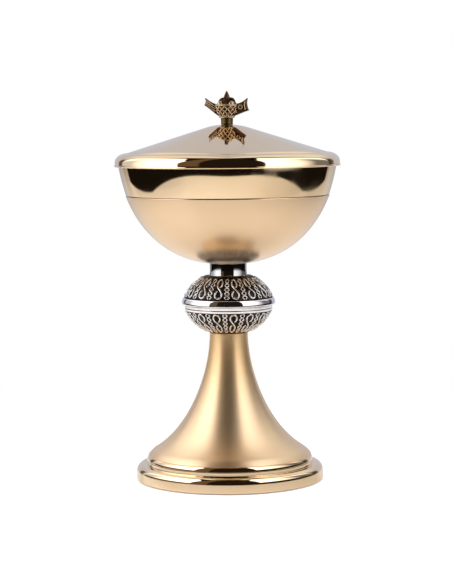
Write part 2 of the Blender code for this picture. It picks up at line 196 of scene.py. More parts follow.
class Finish:
    def __init__(self, owner):
        self.owner = owner
        owner.use_nodes = True
        self.tree = owner.node_tree
        self.tree.nodes.clear()

    def node(self, kind, settings=None, inputs=None, output=0):
        made = self.tree.nodes.new(kind)
        for key, value in (settings or {}).items():
            setattr(made, key, value)
        for key, value in (inputs or {}).items():
            if isinstance(value, Wire):
                self.tree.links.new(value.socket, made.inputs[key])
            else:
                made.inputs[key].default_value = value
        return Wire(self, made.outputs[output] if len(made.outputs) else None)

    def place(self):  # x, y, z in metres, and the distance from the axis
        here = self.node("ShaderNodeTexCoord", output="Object")
        split = [self.node("ShaderNodeSeparateXYZ", None, {0: here}, k) for k in range(3)]
        away = (split[0] * split[0] + split[1] * split[1]) ** 0.5
        return here, *split, away

    def vector(self, x, y, z):
        return self.node("ShaderNodeCombineXYZ", None, {0: x, 1: y, 2: z})

    def noise(self, where, scale, detail=3.0, roughness=0.55):
        return self.node("ShaderNodeTexNoise", None, {"Vector": where, "Scale": scale,
                                                      "Detail": detail, "Roughness": roughness})

    def blend(self, share, first, second):  # two colours mixed by a share
        return self.node("ShaderNodeMix", {"data_type": "RGBA"}, {0: share, 6: first, 7: second}, 2)

    def bump(self, height, strength, distance):
        return self.node("ShaderNodeBump", None, {"Height": height, "Strength": strength,
                                                  "Distance": distance})

    def metal(self, colour, roughness, normal=None, **constants):
        inputs = {"Base Color": colour, "Roughness": roughness, "Metallic": 1.0}
        if normal:
            inputs["Normal"] = normal
        inputs.update({key.replace("_", " "): value for key, value in constants.items()})
        shader = self.node("ShaderNodeBsdfPrincipled", None, inputs)
        self.node("ShaderNodeOutputMaterial", None, {"Surface": shader})
        return self.owner


def newFinish(name):
    return Finish(bpy.data.materials.new(name))


# Polished gilding: nearly a mirror, with soft hand smudges, hair lines left by the mop and fine dust.
polishedGilding = dict(colour=(0.95, 0.74, 0.50, 1), worn=(0.91, 0.68, 0.42, 1), roughness=0.045,
                       smudge=0.07, lineScale=2600, lineDepth=0.000004)


def polishedGilt(name, slope):
    s = polishedGilding
    f = newFinish(name)
    here, x, y, z, away = f.place()
    along = z + away * slope
    lines = f.noise(f.vector(x * 14, y * 14, along * s["lineScale"]), 1.0, 2.0)
    smudge = f.noise(here, 34, 5.0, 0.62).between(0.50, 0.74)
    dust = f.noise(here, 2100, 1.0).between(0.74, 0.80)
    colour = f.blend(f.noise(here, 18, 3.0).between(0.35, 0.75), s["colour"], s["worn"])
    roughness = s["roughness"] + smudge * s["smudge"] + lines.between(0.5, 0.8) * 0.02 + dust * 0.12
    return f.metal(colour, roughness, f.bump(lines, 0.10, s["lineDepth"]))


# Satin gilding: fine grain running round the piece, so that lights spread up and down it.
satinGilding = dict(
    # the foot's stem colour, blended in between the two stem heights, is painted shade for the stem's shaded
    # middle, not a different gilding
    foot=dict(colour=(0.93, 0.685, 0.425, 1), worn=(0.89, 0.63, 0.36, 1), roughness=0.40,
              stretch=0.55, slope=-1.0, stem=(0.87, 0.585, 0.30, 1), stemShadeFrom=0.042, stemShadeTo=0.080),
    cup=dict(colour=(0.715, 0.525, 0.34, 1), worn=(0.675, 0.485, 0.295, 1), roughness=0.25,
             stretch=0.58, slope=1.0),
    grainScale=2300, grainDepth=0.000004)


def satinGilt(name, use):
    s = satinGilding[use]
    f = newFinish(name)
    here, x, y, z, away = f.place()
    along = z + away * s["slope"]
    grain = f.noise(f.vector(x * 22, y * 22, along * satinGilding["grainScale"]), 1.0, 3.0, 0.6)
    broad = f.noise(f.vector(x * 6, y * 6, along * 420), 1.0, 2.0)
    marks = f.noise(f.vector(x * 160, y * 160, along * 1500), 1.0, 2.0).between(0.66, 0.78)
    share = grain.between(0.3, 0.8) * 0.15 + broad.between(0.3, 0.8) * 0.25
    colour = f.blend(share, s["colour"], s["worn"])
    if use == "foot":                                   # painted shade: the stem is tinted a deeper, more saturated gold standing in for how its shaded middle looks
        colour = f.blend(z.between(s["stemShadeFrom"], s["stemShadeTo"]), colour, s["stem"])
    roughness = s["roughness"] + (grain - 0.5) * 0.03 + (broad - 0.5) * 0.02 - marks * 0.01
    return f.metal(colour, roughness, f.bump(grain, 0.06, satinGilding["grainDepth"]),
                   Anisotropic=s["stretch"], Anisotropic_Rotation=0.25)


# Polished silver with a trace of tarnish, in a bright copy and a darker copy whose darkness is painted shade
# for the neck.
polishedSilvering = dict(bright=(0.80, 0.775, 0.785, 1), paintedShade=(0.42, 0.41, 0.41, 1),
                         tarnish=(0.68, 0.64, 0.62, 1), roughness=0.05)


def polishedSilver(name, shade):
    s = polishedSilvering
    f = newFinish(name)
    here, x, y, z, away = f.place()
    lines = f.noise(f.vector(x * 20, y * 20, z * 3200), 1.0, 2.0)
    tarnish = f.noise(here, 120, 4.0, 0.6).between(0.46, 0.74)
    colour = f.blend(tarnish * 0.7, s[shade], s["tarnish"])
    roughness = s["roughness"] + tarnish * 0.06 + lines.between(0.5, 0.8) * 0.03
    return f.metal(colour, roughness, f.bump(lines, 0.12, 0.000004))


# Oxidised silver: the sunk ground is matted and nearly black, what stands above it is rubbed bright.
oxidisedSilvering = dict(black=(0.016, 0.012, 0.010, 1), brown=(0.075, 0.052, 0.036, 1),
                         bright=(0.74, 0.72, 0.71, 1), rim=(0.48, 0.455, 0.44, 1))


def oxidisedGround(name):
    s = oxidisedSilvering
    f = newFinish(name)
    here, x, y, z, away = f.place()
    pits = f.noise(here, 2400, 2.0)
    cloud = f.noise(here, 260, 4.0).between(0.42, 0.72)
    colour = f.blend(cloud, s["black"], s["brown"])
    roughness = 0.42 + cloud * 0.12 + (pits - 0.5) * 0.3
    return f.metal(colour, roughness, f.bump(pits, 0.7, 0.00012))


def chasedSilver(name, shape):  # bright on its crest, dark where it meets the ground
    s = oxidisedSilvering
    f = newFinish(name)
    here, x, y, z, away = f.place()
    level = (z - shape["centre"] * mm) / (shape["height"] * mm)
    reach = (away * away / (shape["radius"] * mm) ** 2 + level * level) ** 0.5
    lift = (reach - 1) * shape["height"]                # millimetres above the ground
    stain = f.noise(here, 700, 4.0, 0.65)
    crest = (lift + (stain - 0.5) * 0.16).between(0.02, 0.20)
    colour = f.blend(crest, s["brown"], f.blend(stain.between(0.45, 0.8), s["bright"], s["rim"]))
    roughness = 0.40 - crest * 0.20 + (stain - 0.5) * 0.15
    return f.metal(colour, roughness, f.bump(stain, 0.3, 0.00004))


# Antique brass for the finial: dark patina with rubbed edges, or light where the file has passed.
antiqueBrassing = dict(black=(0.09, 0.045, 0.022, 1), patina=(0.19, 0.105, 0.055, 1),
                       warm=(0.36, 0.23, 0.12, 1), light=(0.66, 0.50, 0.32, 1), olive=(0.115, 0.08, 0.028, 1))


def antiqueBrass(name, first, second, low, high, roughness):
    s = antiqueBrassing
    f = newFinish(name)
    here, x, y, z, away = f.place()
    cloud = f.noise(here, 420, 5.0, 0.62)
    fine = f.noise(here, 2600, 2.0)
    colour = f.blend(cloud.between(low, high), s[first], s[second])
    rough = roughness + (cloud - 0.5) * 0.16 + (fine - 0.5) * 0.10
    return f.metal(colour, rough, f.bump(cloud + fine * 0.4, 0.25, 0.00003))


# Turned brass for the hardware inside.
turnedBrassing = dict(colour=(0.83, 0.62, 0.33, 1), stained=(0.50, 0.31, 0.13, 1), roughness=0.22)


def turnedBrass(name):
    s = turnedBrassing
    f = newFinish(name)
    here, x, y, z, away = f.place()
    cut = f.noise(f.vector(x * 40, y * 40, (z + away) * 2600), 1.0, 2.0)
    stain = f.noise(here, 210, 5.0, 0.6).between(0.45, 0.78)
    colour = f.blend(stain, s["colour"], s["stained"])
    roughness = s["roughness"] + stain * 0.16 + (cut - 0.5) * 0.18
    return f.metal(colour, roughness, f.bump(cut, 0.3, 0.00001))


giltRising = polishedGilt("polished_gilt_walls", 1.0)
giltFalling = polishedGilt("polished_gilt_lid", -1.0)
satinFoot = satinGilt("satin_gilt_foot", "foot")
satinCup = satinGilt("satin_gilt_cup", "cup")
brightSilver = polishedSilver("polished_silver", "bright")
# the darker copy is painted shade: it stands in for the dark room mirrored in the neck
paintedShadeSilver = polishedSilver("painted_shade_silver", "paintedShade")
darkSilver = oxidisedGround("oxidised_silver_ground")
darkBrass = antiqueBrass("antique_brass_dark", "black", "patina", 0.40, 0.68, 0.46)
warmBrass = antiqueBrass("antique_brass_warm", "warm", "light", 0.30, 0.75, 0.40)
rubbedBrass = antiqueBrass("antique_brass_rubbed", "warm", "light", 0.0, 0.48, 0.52)
oliveBrass = antiqueBrass("antique_brass_olive", "black", "olive", 0.20, 0.50, 0.42)
hardwareBrass = turnedBrass("turned_brass")
print("finishes made")


# Foot: base ring, step ring, trumpet, plug
baseRing = dict(wallTop=5.4, rounding=4.3, ledge=52.0, rise=51.72, edge=1.2, wall=3.2, roof=1.6, bore=48.2,
                lip=1.6)


def makeBaseRing():
    s = baseRing
    radius, bottom, top = nodeSize("base_ring")
    inside = radius - s["wall"]
    level = s["wallTop"] + s["rounding"]
    outline = arcPoints((radius - s["edge"], bottom + s["edge"]), (s["edge"], s["edge"]), -90, 0, 12)
    outline += arcPoints((radius - s["rounding"], s["wallTop"]), (s["rounding"], s["rounding"]), 0, 90, 36)
    outline += curvePoints([(s["ledge"], level), (s["rise"], level), (s["rise"], level + 0.3)], 6)
    outline += [(s["rise"], top + 0.15), (s["rise"] - 0.15, top + 0.2), (s["bore"], top),
                (s["bore"], top - s["roof"])]
    outline += curvePoints([(50.4, top - s["roof"]), (50.6, level - 1.3), (inside, level - 0.9),
                            (inside, 5.0)], 14)
    outline += [(inside, bottom + 2), (inside - s["lip"], bottom + 0.8), (inside - s["lip"], bottom)]
    piece("base_ring_polished", spunMesh(outline), giltRising, "vessel", ["base_ring"])


stepRing = dict(rounding=4.4, width=3.4, meets=15.1)


def makeStepRing():
    s = stepRing
    radius, bottom, top = nodeSize("step_ring")
    turn = degrees(asin((s["meets"] - bottom) / s["rounding"]))
    outline = [(radius - 0.3, bottom)]
    outline += arcPoints((radius - s["rounding"], bottom), (s["rounding"], s["rounding"]), 2, turn, 28)
    outline += [(radius - s["width"], s["meets"]), (radius - s["width"], bottom)]
    piece("step_ring_polished", spunMesh(outline), giltRising, "vessel", ["step_ring"])


trumpet = dict(stem=11.8, lip=(47.3, 18.5), sheet=0.9, waist=(11.8, 64.5), spread=(25.55, 31.5),
               turnOver=(48.9, 17.2))


def makeFoot():
    s = trumpet
    radius, bottom, top = nodeSize("foot_shell")
    outer = curvePoints([(s["stem"], top), s["waist"], s["spread"], s["lip"]], 64)
    outer += curvePoints([s["lip"], s["turnOver"], (radius, bottom)], 20)[1:]
    inner = besidePoints(outer, -s["sheet"])
    inner[0] = (s["stem"] - s["sheet"], top)
    inner[-1] = (radius - s["sheet"], bottom)
    outer[0] = (s["stem"] - 0.15, top)
    outer.insert(1, (s["stem"], top - 0.15))
    piece("foot_satin", spunMesh(outer + inner[::-1]), satinFoot, "vessel", ["foot_shell"])


def makeRing(name, node, bore, chamfer, finish, body):  # plain turned ring with eased corners
    radius, bottom, top = nodeSize(node)
    outline = [(bore, bottom + chamfer), (bore + chamfer, bottom), (radius - chamfer, bottom),
               (radius, bottom + chamfer), (radius, top - chamfer), (radius - chamfer, top),
               (bore + chamfer, top), (bore, top - chamfer)]
    piece(name, spunMesh(outline), finish, body, [node])


# Threaded rods and hexagon nuts
threads = dict(tie_rod=dict(pitch=1.0, depth=0.32, length=12.0),
               finial_stud=dict(pitch=0.7, depth=0.22, length=7.5))


def makeRod(name, node, body):
    s = threads[node]
    radius, bottom, top = nodeSize(node)
    outline = [(0, bottom), (radius - 0.6, bottom)]
    count = int(s["length"] / s["pitch"])
    for i in range(count):
        low = bottom + 0.4 + i * s["pitch"]
        outline += [(radius - s["depth"], low), (radius - 0.03, low + s["pitch"] * 0.42),
                    (radius - 0.03, low + s["pitch"] * 0.58)]
    outline += [(radius - s["depth"], bottom + 0.4 + count * s["pitch"]),
                (radius, bottom + 0.9 + count * s["pitch"]), (radius, top - 0.4), (radius - 0.4, top),
                (0, top)]
    piece(name, spunMesh(outline, 64, closed=False), hardwareBrass, body, [node],
          crease=25)


nuts = dict(tie_nut=dict(acrossFlats=10.0, bore=3.05), finial_nut=dict(acrossFlats=7.0, bore=1.65))


def makeNut(name, node, body):  # a turned, chamfered blank whose six flats are then cut
    s = nuts[node]
    low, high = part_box(node)
    bottom, top = low.z / mm, high.z / mm
    flat = s["acrossFlats"] / 2
    corner = s["acrossFlats"] / sqrt(3)
    chamfer = 0.12 * (top - bottom)
    outline = [(s["bore"], bottom + 0.4), (s["bore"] + 0.4, bottom), (flat * 0.96, bottom),
               (corner, bottom + chamfer), (corner, top - chamfer), (flat * 0.96, top),
               (s["bore"] + 0.4, top), (s["bore"], top - 0.4)]
    bm = spunMesh(outline, 96)
    bmesh.ops.remove_doubles(bm, verts=bm.verts, dist=0.000002)
    for i in range(6):
        facing = Vector((cos(radians(30 + 60 * i)), sin(radians(30 + 60 * i)), 0))
        cut = bmesh.ops.bisect_plane(bm, geom=bm.verts[:] + bm.edges[:] + bm.faces[:],
                                     plane_co=facing * flat * mm, plane_no=facing, clear_outer=True)
        rim = [e for e in cut["geom_cut"] if isinstance(e, bmesh.types.BMEdge)]
        bmesh.ops.contextual_create(bm, geom=rim)
    piece(name, bm, hardwareBrass, body, [node], crease=20)


makeBaseRing()
makeStepRing()
makeFoot()
makeRing("stem_plug_turned", "stem_plug", 3.3, 0.3, hardwareBrass, "vessel")
makeRing("tie_washer_turned", "tie_washer", 3.3, 0.15, hardwareBrass, "vessel")
makeRod("tie_rod_threaded", "tie_rod", "vessel")
makeNut("tie_nut_hexagon", "tie_nut", "vessel")
print("foot and tie rod made")


# Knob: two chased half shells, their raised ornament, the polished ring between them
upperKnob = dict(radius=29.0, centre=105.0, height=24.7, wall=1.6, bore=6.5, start=-2.2)
lowerKnob = dict(radius=28.2, centre=112.9, height=23.9, wall=1.6, bore=6.5, start=-5.2)


def knobRadius(shape, height, inset=0.0):
    share = (height - shape["centre"]) / (shape["height"] - inset)
    return (shape["radius"] - inset) * sqrt(max(1 - share * share, 0))


def makeKnobShell(name, node, shape, rim, end):
    side = 1 if end > rim else -1
    roof = end - side * shape["wall"]
    eased = [sin(pi / 2 * i / 30) for i in range(31)]
    outer = [(knobRadius(shape, rim + (end - rim) * e), rim + (end - rim) * e) for e in eased]
    inner = [(knobRadius(shape, rim + (roof - rim) * e, shape["wall"]), rim + (roof - rim) * e)
             for e in eased]
    outline = outer + [(shape["bore"], end), (shape["bore"], roof)] + inner[::-1]
    piece(name, spunMesh(outline), darkSilver, "vessel", [node])


# Ornament paths are (side, share): side runs from -1 to 1 across a motif, share from rim to crown.
ornament = dict(repeats=15, scrollHalf=4.9, braidHalf=2.8, braidPeriods=2.5, wire=0.58, braidWire=0.45,
                sink=0.05, wave=0.07)


def scrollPaths():  # an S whose ends curl inside
    upper = arcPoints((0.0, 0.76), (0.85, 0.19), -75, 205, 26)
    lower = arcPoints((0.0, 0.23), (0.95, 0.19), 25, -250, 26)
    return [upper + curvePoints([upper[-1], (-0.35, 0.53), (0.35, 0.47), lower[0]], 8)[1:-1] + lower]


def braidPaths():
    s = ornament
    count = 44
    shares = [i / count for i in range(count + 1)]
    return [[(side * sin(2 * pi * s["braidPeriods"] * share + 0.2), share) for share in shares]
            for side in (1, -1)]


def onKnob(shape, low, high, turn, half, path):
    lowAngle = (low - shape["centre"]) / shape["height"]
    highAngle = (high - shape["centre"]) / shape["height"]
    places = []
    for i, (side, share) in enumerate(path):
        level = lowAngle + (highAngle - lowAngle) * share
        ring = sqrt(1 - level * level)
        lift = 1 + (ornament["wave"] * cos(i * 0.9) - ornament["sink"]) / shape["radius"]
        angle = radians(turn + half * side)
        places.append(Vector((shape["radius"] * ring * lift * sin(angle),
                              -shape["radius"] * ring * lift * cos(angle),
                              shape["centre"] + shape["height"] * level * lift)) * mm)
    return places


def makeOrnament(name, shape, low, high, mirror, finish):
    s = ornament
    pitch = 360 / s["repeats"]
    scrolls, braids = [], []
    for i in range(s["repeats"]):
        turn = shape["start"] + pitch * i
        braids += [onKnob(shape, low, high, turn, s["braidHalf"], path) for path in braidPaths()]
        scrolls += [onKnob(shape, low, high, turn + pitch / 2, s["scrollHalf"] * mirror, path)
                    for path in scrollPaths()]
    bm = joined(tubeMesh(scrolls, s["wire"]), tubeMesh(braids, s["braidWire"]))
    piece(name, bm, finish, "vessel", crease=60)


knobRing = dict(bead=(27.5, 1.3, 3.5, 0.8), flat=27.05, grooveRadius=26.35, groove=(106.35, 106.85),
                border=(26.75, 105.05, 27.1, 106.3), depth=2.6)


def makeKnobRing():
    s = knobRing
    radius, bottom, top = nodeSize("knob_band")
    centre, bulge, above, below = s["bead"]
    middle = top - above
    outline = [(s["grooveRadius"], s["groove"][0]), (s["flat"] - 0.1, s["groove"][1] - 0.1),
               (s["flat"], s["groove"][1] + 0.05), (s["flat"] + 0.12, middle - below - 0.05)]
    outline += arcPoints((centre, middle), (bulge, below), -86, 0, 14)
    outline += arcPoints((centre, middle), (bulge, above), 3, 90, 30)
    inside = radius - 4.6
    outline += [(inside, top), (inside, s["groove"][0])]
    piece("knob_ring_polished", spunMesh(outline), brightSilver, "vessel",
          ["knob_band"])
    r0, z0, r1, z1 = s["border"]
    border = [(r0 - s["depth"], z0), (r0, z0), (r0 + 0.14, z0 + 0.12), (r1, z1 - 0.12),
              (r1 - 0.14, z1), (r0 - s["depth"], z1)]
    piece("knob_border_polished", spunMesh(border), brightSilver, "vessel")


neckCollar = dict(radius=11.45, flare=0.45, waist=11.32, wall=1.4)


def makeNeck():
    s = neckCollar
    _, bottom, top = nodeSize("neck_collar")
    side = curvePoints([(s["radius"] + s["flare"], bottom), (s["waist"] - 0.15, bottom + 1.4),
                        (s["waist"], bottom + 4.6), (s["radius"], top)], 30)
    inside = s["radius"] - s["wall"]
    # the neck gets the darker silver, painted shade in place of its dark reflections
    piece("neck_polished", spunMesh(side + [(inside, top), (inside, bottom)]), paintedShadeSilver,
          "vessel", ["neck_collar"])


_, lowerEnd, lowerRim = nodeSize("knob_lower_shell")
_, upperRim, upperEnd = nodeSize("knob_upper_shell")
makeKnobShell("knob_upper_chased", "knob_upper_shell", upperKnob, upperRim, upperEnd)
makeKnobShell("knob_lower_chased", "knob_lower_shell", lowerKnob, lowerRim, lowerEnd)
makeOrnament("knob_upper_ornament", upperKnob, upperRim + 0.5, upperEnd - 0.7, 1,
             chasedSilver("chased_silver_upper", upperKnob))
makeOrnament("knob_lower_ornament", lowerKnob, lowerRim - 0.9, lowerEnd + 0.7, -1,
             chasedSilver("chased_silver_lower", lowerKnob))
makeKnobRing()
makeNeck()
print("knob made")


# Cup: satin calyx outside, polished bowl and band inside it
cup = dict(radius=69.23, centre=218.4, depth=84.9, power=2.306, flat=13.0, calyxWall=0.8, gap=0.3,
           band=((62.6, 176.4), (66.3, 188.2), (67.8, 198.2)), bandWall=1.1, lip=0.5, spigot=5.3)


def cupHeight(radius):
    share = min(radius / cup["radius"], 1.0)
    return cup["centre"] - cup["depth"] * (1 - share ** cup["power"]) ** (1 / cup["power"])


def cupRadius(height):
    share = (cup["centre"] - height) / cup["depth"]
    return cup["radius"] * (1 - share ** cup["power"]) ** (1 / cup["power"])


def cupSide(top, steps):
    reach = cupRadius(top)
    radii = [cup["flat"] + (reach - cup["flat"]) * sin(pi / 2 * i / steps) for i in range(steps + 1)]
    return [(r, cupHeight(r)) for r in radii]


def makeCalyx():
    _, bottom, top = nodeSize("cup_calyx")
    wall = cup["calyxWall"]
    outer = cupSide(top - wall / 2, 64)
    inner = besidePoints(outer, wall)
    inner[0] = (cup["flat"], bottom + wall)
    edge = outer[-1][0]
    rounding = arcPoints((edge - wall / 2, top - wall / 2), (wall / 2, wall / 2), 20, 180, 10)
    outline = [(cup["spigot"], bottom)] + outer + rounding + inner[-2::-1]
    outline += [(cup["spigot"], bottom + wall)]
    piece("cup_calyx_satin", spunMesh(outline), satinCup, "vessel", ["cup_calyx"])


def makeBowl():
    _, bottom, top = nodeSize("cup_bowl")
    _, _, calyxTop = nodeSize("cup_calyx")
    nest = cup["calyxWall"] + cup["gap"]
    wall = cup["bandWall"]
    below = besidePoints(cupSide(calyxTop - 0.4, 64), nest)
    below[0] = (cup["flat"], bottom)
    below[-1] = (cupRadius(calyxTop) - nest, calyxTop + cup["gap"])
    band = curvePoints(cup["band"], 40)
    reach, high = band[-1]
    band[-1] = (reach, high - cup["lip"])
    lip = arcPoints((reach - wall / 2, high - cup["lip"]), (wall / 2, cup["lip"]), 15, 180, 12)
    inside = [(r - wall, z) for r, z in band[-2:0:-1]]
    lining = besidePoints(cupSide(calyxTop - 3.0, 64), nest + wall)
    lining[0] = (cup["flat"], bottom + wall)
    outline = [(0, bottom)] + below + band + lip + inside + lining[::-1] + [(0, bottom + wall)]
    piece("cup_bowl_polished", spunMesh(outline, closed=False), giltRising, "vessel",
          ["cup_bowl"])


makeCalyx()
makeBowl()
print("cup made")


# Lid: polished cone with rounded rim and hem, centring flange inside
lid = dict(sheet=0.9, apex=219.3, domeRadius=13.0, domeHeight=217.5, shoulder=(61.8, 202.2),
           rimCentre=196.6, clearance=1.9, cove=0.45, hemTop=1.1)
flange = dict(wall=1.0, lead=1.5)


def lidSide(radius):
    s = lid
    coneEnd = s["shoulder"]
    dome = curvePoints([(s["clearance"], s["apex"]), (6.0, s["apex"] - 0.15),
                        (s["domeRadius"] - 3.5, s["domeHeight"] + 1.1),
                        (s["domeRadius"], s["domeHeight"])], 24)
    cone = [(s["domeRadius"] + (coneEnd[0] - s["domeRadius"]) * i / 12,
             s["domeHeight"] + (coneEnd[1] - s["domeHeight"]) * i / 12) for i in range(1, 12)]
    cove = curvePoints([(coneEnd[0] - 0.5, coneEnd[1] + 0.16), (coneEnd[0], coneEnd[1] - s["cove"]),
                        (coneEnd[0] + 0.5, coneEnd[1] - 0.08)], 8)
    rim = arcPoints((coneEnd[0], s["rimCentre"]), (radius - 0.4 - coneEnd[0], coneEnd[1] - s["rimCentre"]),
                    82, 0, 40)
    return dome + cone + cove + rim


def makeLid():
    radius, bottom, _ = nodeSize("lid_shell")
    outer = lidSide(radius)
    inner = besidePoints(outer, -lid["sheet"])
    inner[0] = (lid["clearance"], lid["apex"] - lid["sheet"])
    inner[-1] = (outer[-1][0] - lid["sheet"], outer[-1][1])
    bead = lid["hemTop"] / 2
    hem = [(radius - 0.32, bottom + lid["hemTop"] + 0.5), (radius - 0.34, bottom + lid["hemTop"] + 0.1)]
    hem += arcPoints((radius - bead, bottom + bead), (bead, bead), 70, -90, 14)
    hem += [(radius - 1.2, bottom)]
    piece("lid_polished", spunMesh(outer + hem + inner[::-1]), giltFalling, "lid",
          ["lid_shell"])


def makeFlange():
    radius, bottom, top = nodeSize("lid_flange")
    inner = radius - flange["wall"]
    lead = flange["lead"]
    outline = [(inner - 0.5, bottom)] + curvePoints([(radius - 0.5, bottom), (radius - 0.1, bottom + 0.4),
                                                    (radius, bottom + lead)], 10)
    outline += [(radius, top), (inner, top), (inner, bottom + lead)]
    piece("lid_flange_polished", spunMesh(outline), giltRising, "lid", ["lid_flange"])


makeLid()
makeFlange()
makeRing("finial_washer_turned", "finial_washer", 1.9, 0.12, hardwareBrass, "lid")
makeRod("finial_stud_threaded", "finial_stud", "lid")
makeNut("finial_nut_hexagon", "finial_nut", "lid")
print("lid made")


# Finial: a latticed basket with domed pads, two flared arms, an arched comb and a spire.
# It is drawn in millimetres with the arms along X, then turned with the casting.
finial = dict(turn=-12.0, foot=4.4, rim=7.05, rimHeight=231.0, strips=12, stripWire=0.34, stripTurn=66,
              hollow=0.55, tuck=0.26, padRadius=(2.15, 2.6, 2.3), padPlace=(3.35, 2.7, 231.5), armHalf=2.1,
              combHalf=0.75, combBack=0.6)
finialTurn = Matrix.Rotation(radians(finial["turn"]), 4, "Z") @ Matrix.Scale(mm, 4)
armOutlines = dict(
    broad=[[(4.0, 224.5), (5.6, 224.6), (8.6, 226.3), (13.7, 227.8)],
           [(13.7, 227.8), (12.3, 230.6), (12.2, 232.6), (12.9, 235.3)],
           [(12.9, 235.3), (10.4, 233.0), (8.6, 232.3), (6.2, 232.0)]],
    slender=[[(-6.4, 231.8), (-8.6, 232.1), (-10.6, 233.5), (-13.5, 235.5)],
             [(-13.5, 235.5), (-12.7, 234.2), (-12.7, 232.8), (-13.8, 231.2)],
             [(-13.8, 231.2), (-10.4, 229.2), (-8.0, 226.4), (-4.4, 224.2)]])


def finialPiece(name, bm, finish, crease=45):
    bmesh.ops.transform(bm, matrix=finialTurn, verts=bm.verts)
    piece(name, bm, finish, "lid", ["finial_casting"], crease)


def inMetres(path):
    return [Vector(p) * mm for p in path]


def unscaled(bm):  # tubes are made in metres, the finial in millimetres
    bmesh.ops.scale(bm, vec=(1 / mm,) * 3, verts=bm.verts)
    return bm


def turnedInMillimetres(outline, segments, closed):
    return unscaled(spunMesh(outline, segments, closed))


def basketSide(steps=24):
    s = finial
    _, bottom, _ = nodeSize("finial_casting")
    return curvePoints([(s["foot"], bottom + 0.3), (5.4, 225.2), (6.6, 227.6),
                        (s["rim"], s["rimHeight"])], steps)


def makeBasket():
    s = finial
    _, bottom, _ = nodeSize("finial_casting")
    side = [(r - s["hollow"], z) for r, z in basketSide()]
    low = bottom - s["tuck"]                            # reaches down into the collar
    core = [(0, low), (s["foot"] - 0.5, low), (s["foot"], bottom + 0.3)] + side[1:]
    core += arcPoints((0, s["rimHeight"]), (s["rim"] - 0.9, 1.6), 20, 90, 12)
    finialPiece("finial_core", turnedInMillimetres(core, 96, False), darkBrass)


def makeLattice():
    s = finial
    side = basketSide()
    low, high = side[0][1] + 0.1, s["rimHeight"]
    paths = []
    for way in (1, -1):
        for i in range(s["strips"]):
            path = []
            for k in range(15):
                height = low + (high - low) * k / 14
                angle = radians(360 / s["strips"] * i + way * s["stripTurn"] * k / 14)
                reach = radiusAt(side, height) - 0.12
                path.append((reach * sin(angle), -reach * cos(angle), height))
            paths.append(inMetres(path))
    strips = unscaled(tubeMesh(paths, s["stripWire"], ends=1.0))
    rings = []
    for radius, height, size in ((s["foot"] - 0.05, low, 0.5), (s["rim"] - 0.1, high + 0.1, 0.55)):
        ring = arcPoints((radius, height), (size, size * 0.8), 0, 330, 11)
        rings.append(turnedInMillimetres(ring, 72, True))
    finialPiece("finial_lattice", joined(strips, *rings), rubbedBrass)


def makePads():  # four domed pads that fill the basket
    s = finial
    domes = []
    for across in (1, -1):
        for along in (1, -1):
            dome = bmesh.new()
            bmesh.ops.create_uvsphere(dome, u_segments=40, v_segments=24, radius=1.0)
            bmesh.ops.scale(dome, vec=s["padRadius"], verts=dome.verts)
            x, y, z = s["padPlace"]
            bmesh.ops.translate(dome, vec=(x * across, y * along, z), verts=dome.verts)
            domes.append(dome)
    finialPiece("finial_pads", joined(*domes), warmBrass)


def plate(outline, half, ease, segments=3):  # an outline in the XZ plane, given thickness along Y
    bm = bmesh.new()
    face = bm.faces.new([bm.verts.new((x, -half, z)) for x, z in outline])
    grown = bmesh.ops.extrude_face_region(bm, geom=[face])
    moved = [v for v in grown["geom"] if isinstance(v, bmesh.types.BMVert)]
    bmesh.ops.translate(bm, verts=moved, vec=(0, 2 * half, 0))
    bmesh.ops.recalc_face_normals(bm, faces=bm.faces)
    edges = [e for e in bm.edges if abs(e.verts[0].co.y - e.verts[1].co.y) < 0.01]
    bmesh.ops.bevel(bm, geom=edges, offset=ease, segments=segments, profile=0.5, affect="EDGES",
                    material=-1)
    return bm


def makeArms():
    s = finial
    for name, lines in armOutlines.items():
        outline = []
        for line in lines:
            outline += curvePoints(line, 14)[:-1]
        outline.append(lines[-1][-1])
        finialPiece(f"finial_{name}_arm", plate(outline, s["armHalf"], 0.35), darkBrass)


armRelief = dict(lift=0.14, wire=0.34, ringWire=0.33, eye=(8.9, 229.9), eyeRadius=1.15,
                 bars=[[(6.4, 231.6), (5.5, 229.4), (6.3, 226.3)],
                       [(12.0, 233.4), (10.9, 231.2), (12.1, 228.3)]])


def makeArmRelief():  # raised bars, a ring and long lines on both faces of the arms
    s = armRelief
    paths = []
    rings = []
    face = finial["armHalf"] + s["lift"]
    eyeX, eyeZ = s["eye"]
    for side in (-1, 1):
        y = face * side
        paths += [[(x, y, z) for x, z in curvePoints(bar, 14)] for bar in s["bars"]]
        for shift in (-0.95, 0.0, 0.95):
            line = curvePoints([(-6.6, 229.0 + shift * 1.6), (-9.6, 230.6 + shift * 1.25),
                                (-12.8, 233.3 + shift)], 14)
            paths.append([(x, y, z) for x, z in line])
        ring = arcPoints(s["eye"], (s["eyeRadius"], s["eyeRadius"]), 0, 360, 32)
        rings.append([(x, y, z) for x, z in ring])
        paths.append([(eyeX, y, eyeZ), (eyeX, y + 0.3 * side, eyeZ)])
    relief = joined(unscaled(tubeMesh([inMetres(p) for p in paths], s["wire"], ends=0.6)),
                    unscaled(tubeMesh([inMetres(p) for p in rings], s["ringWire"], ends=1.0)))
    finialPiece("finial_arm_relief", relief, rubbedBrass)


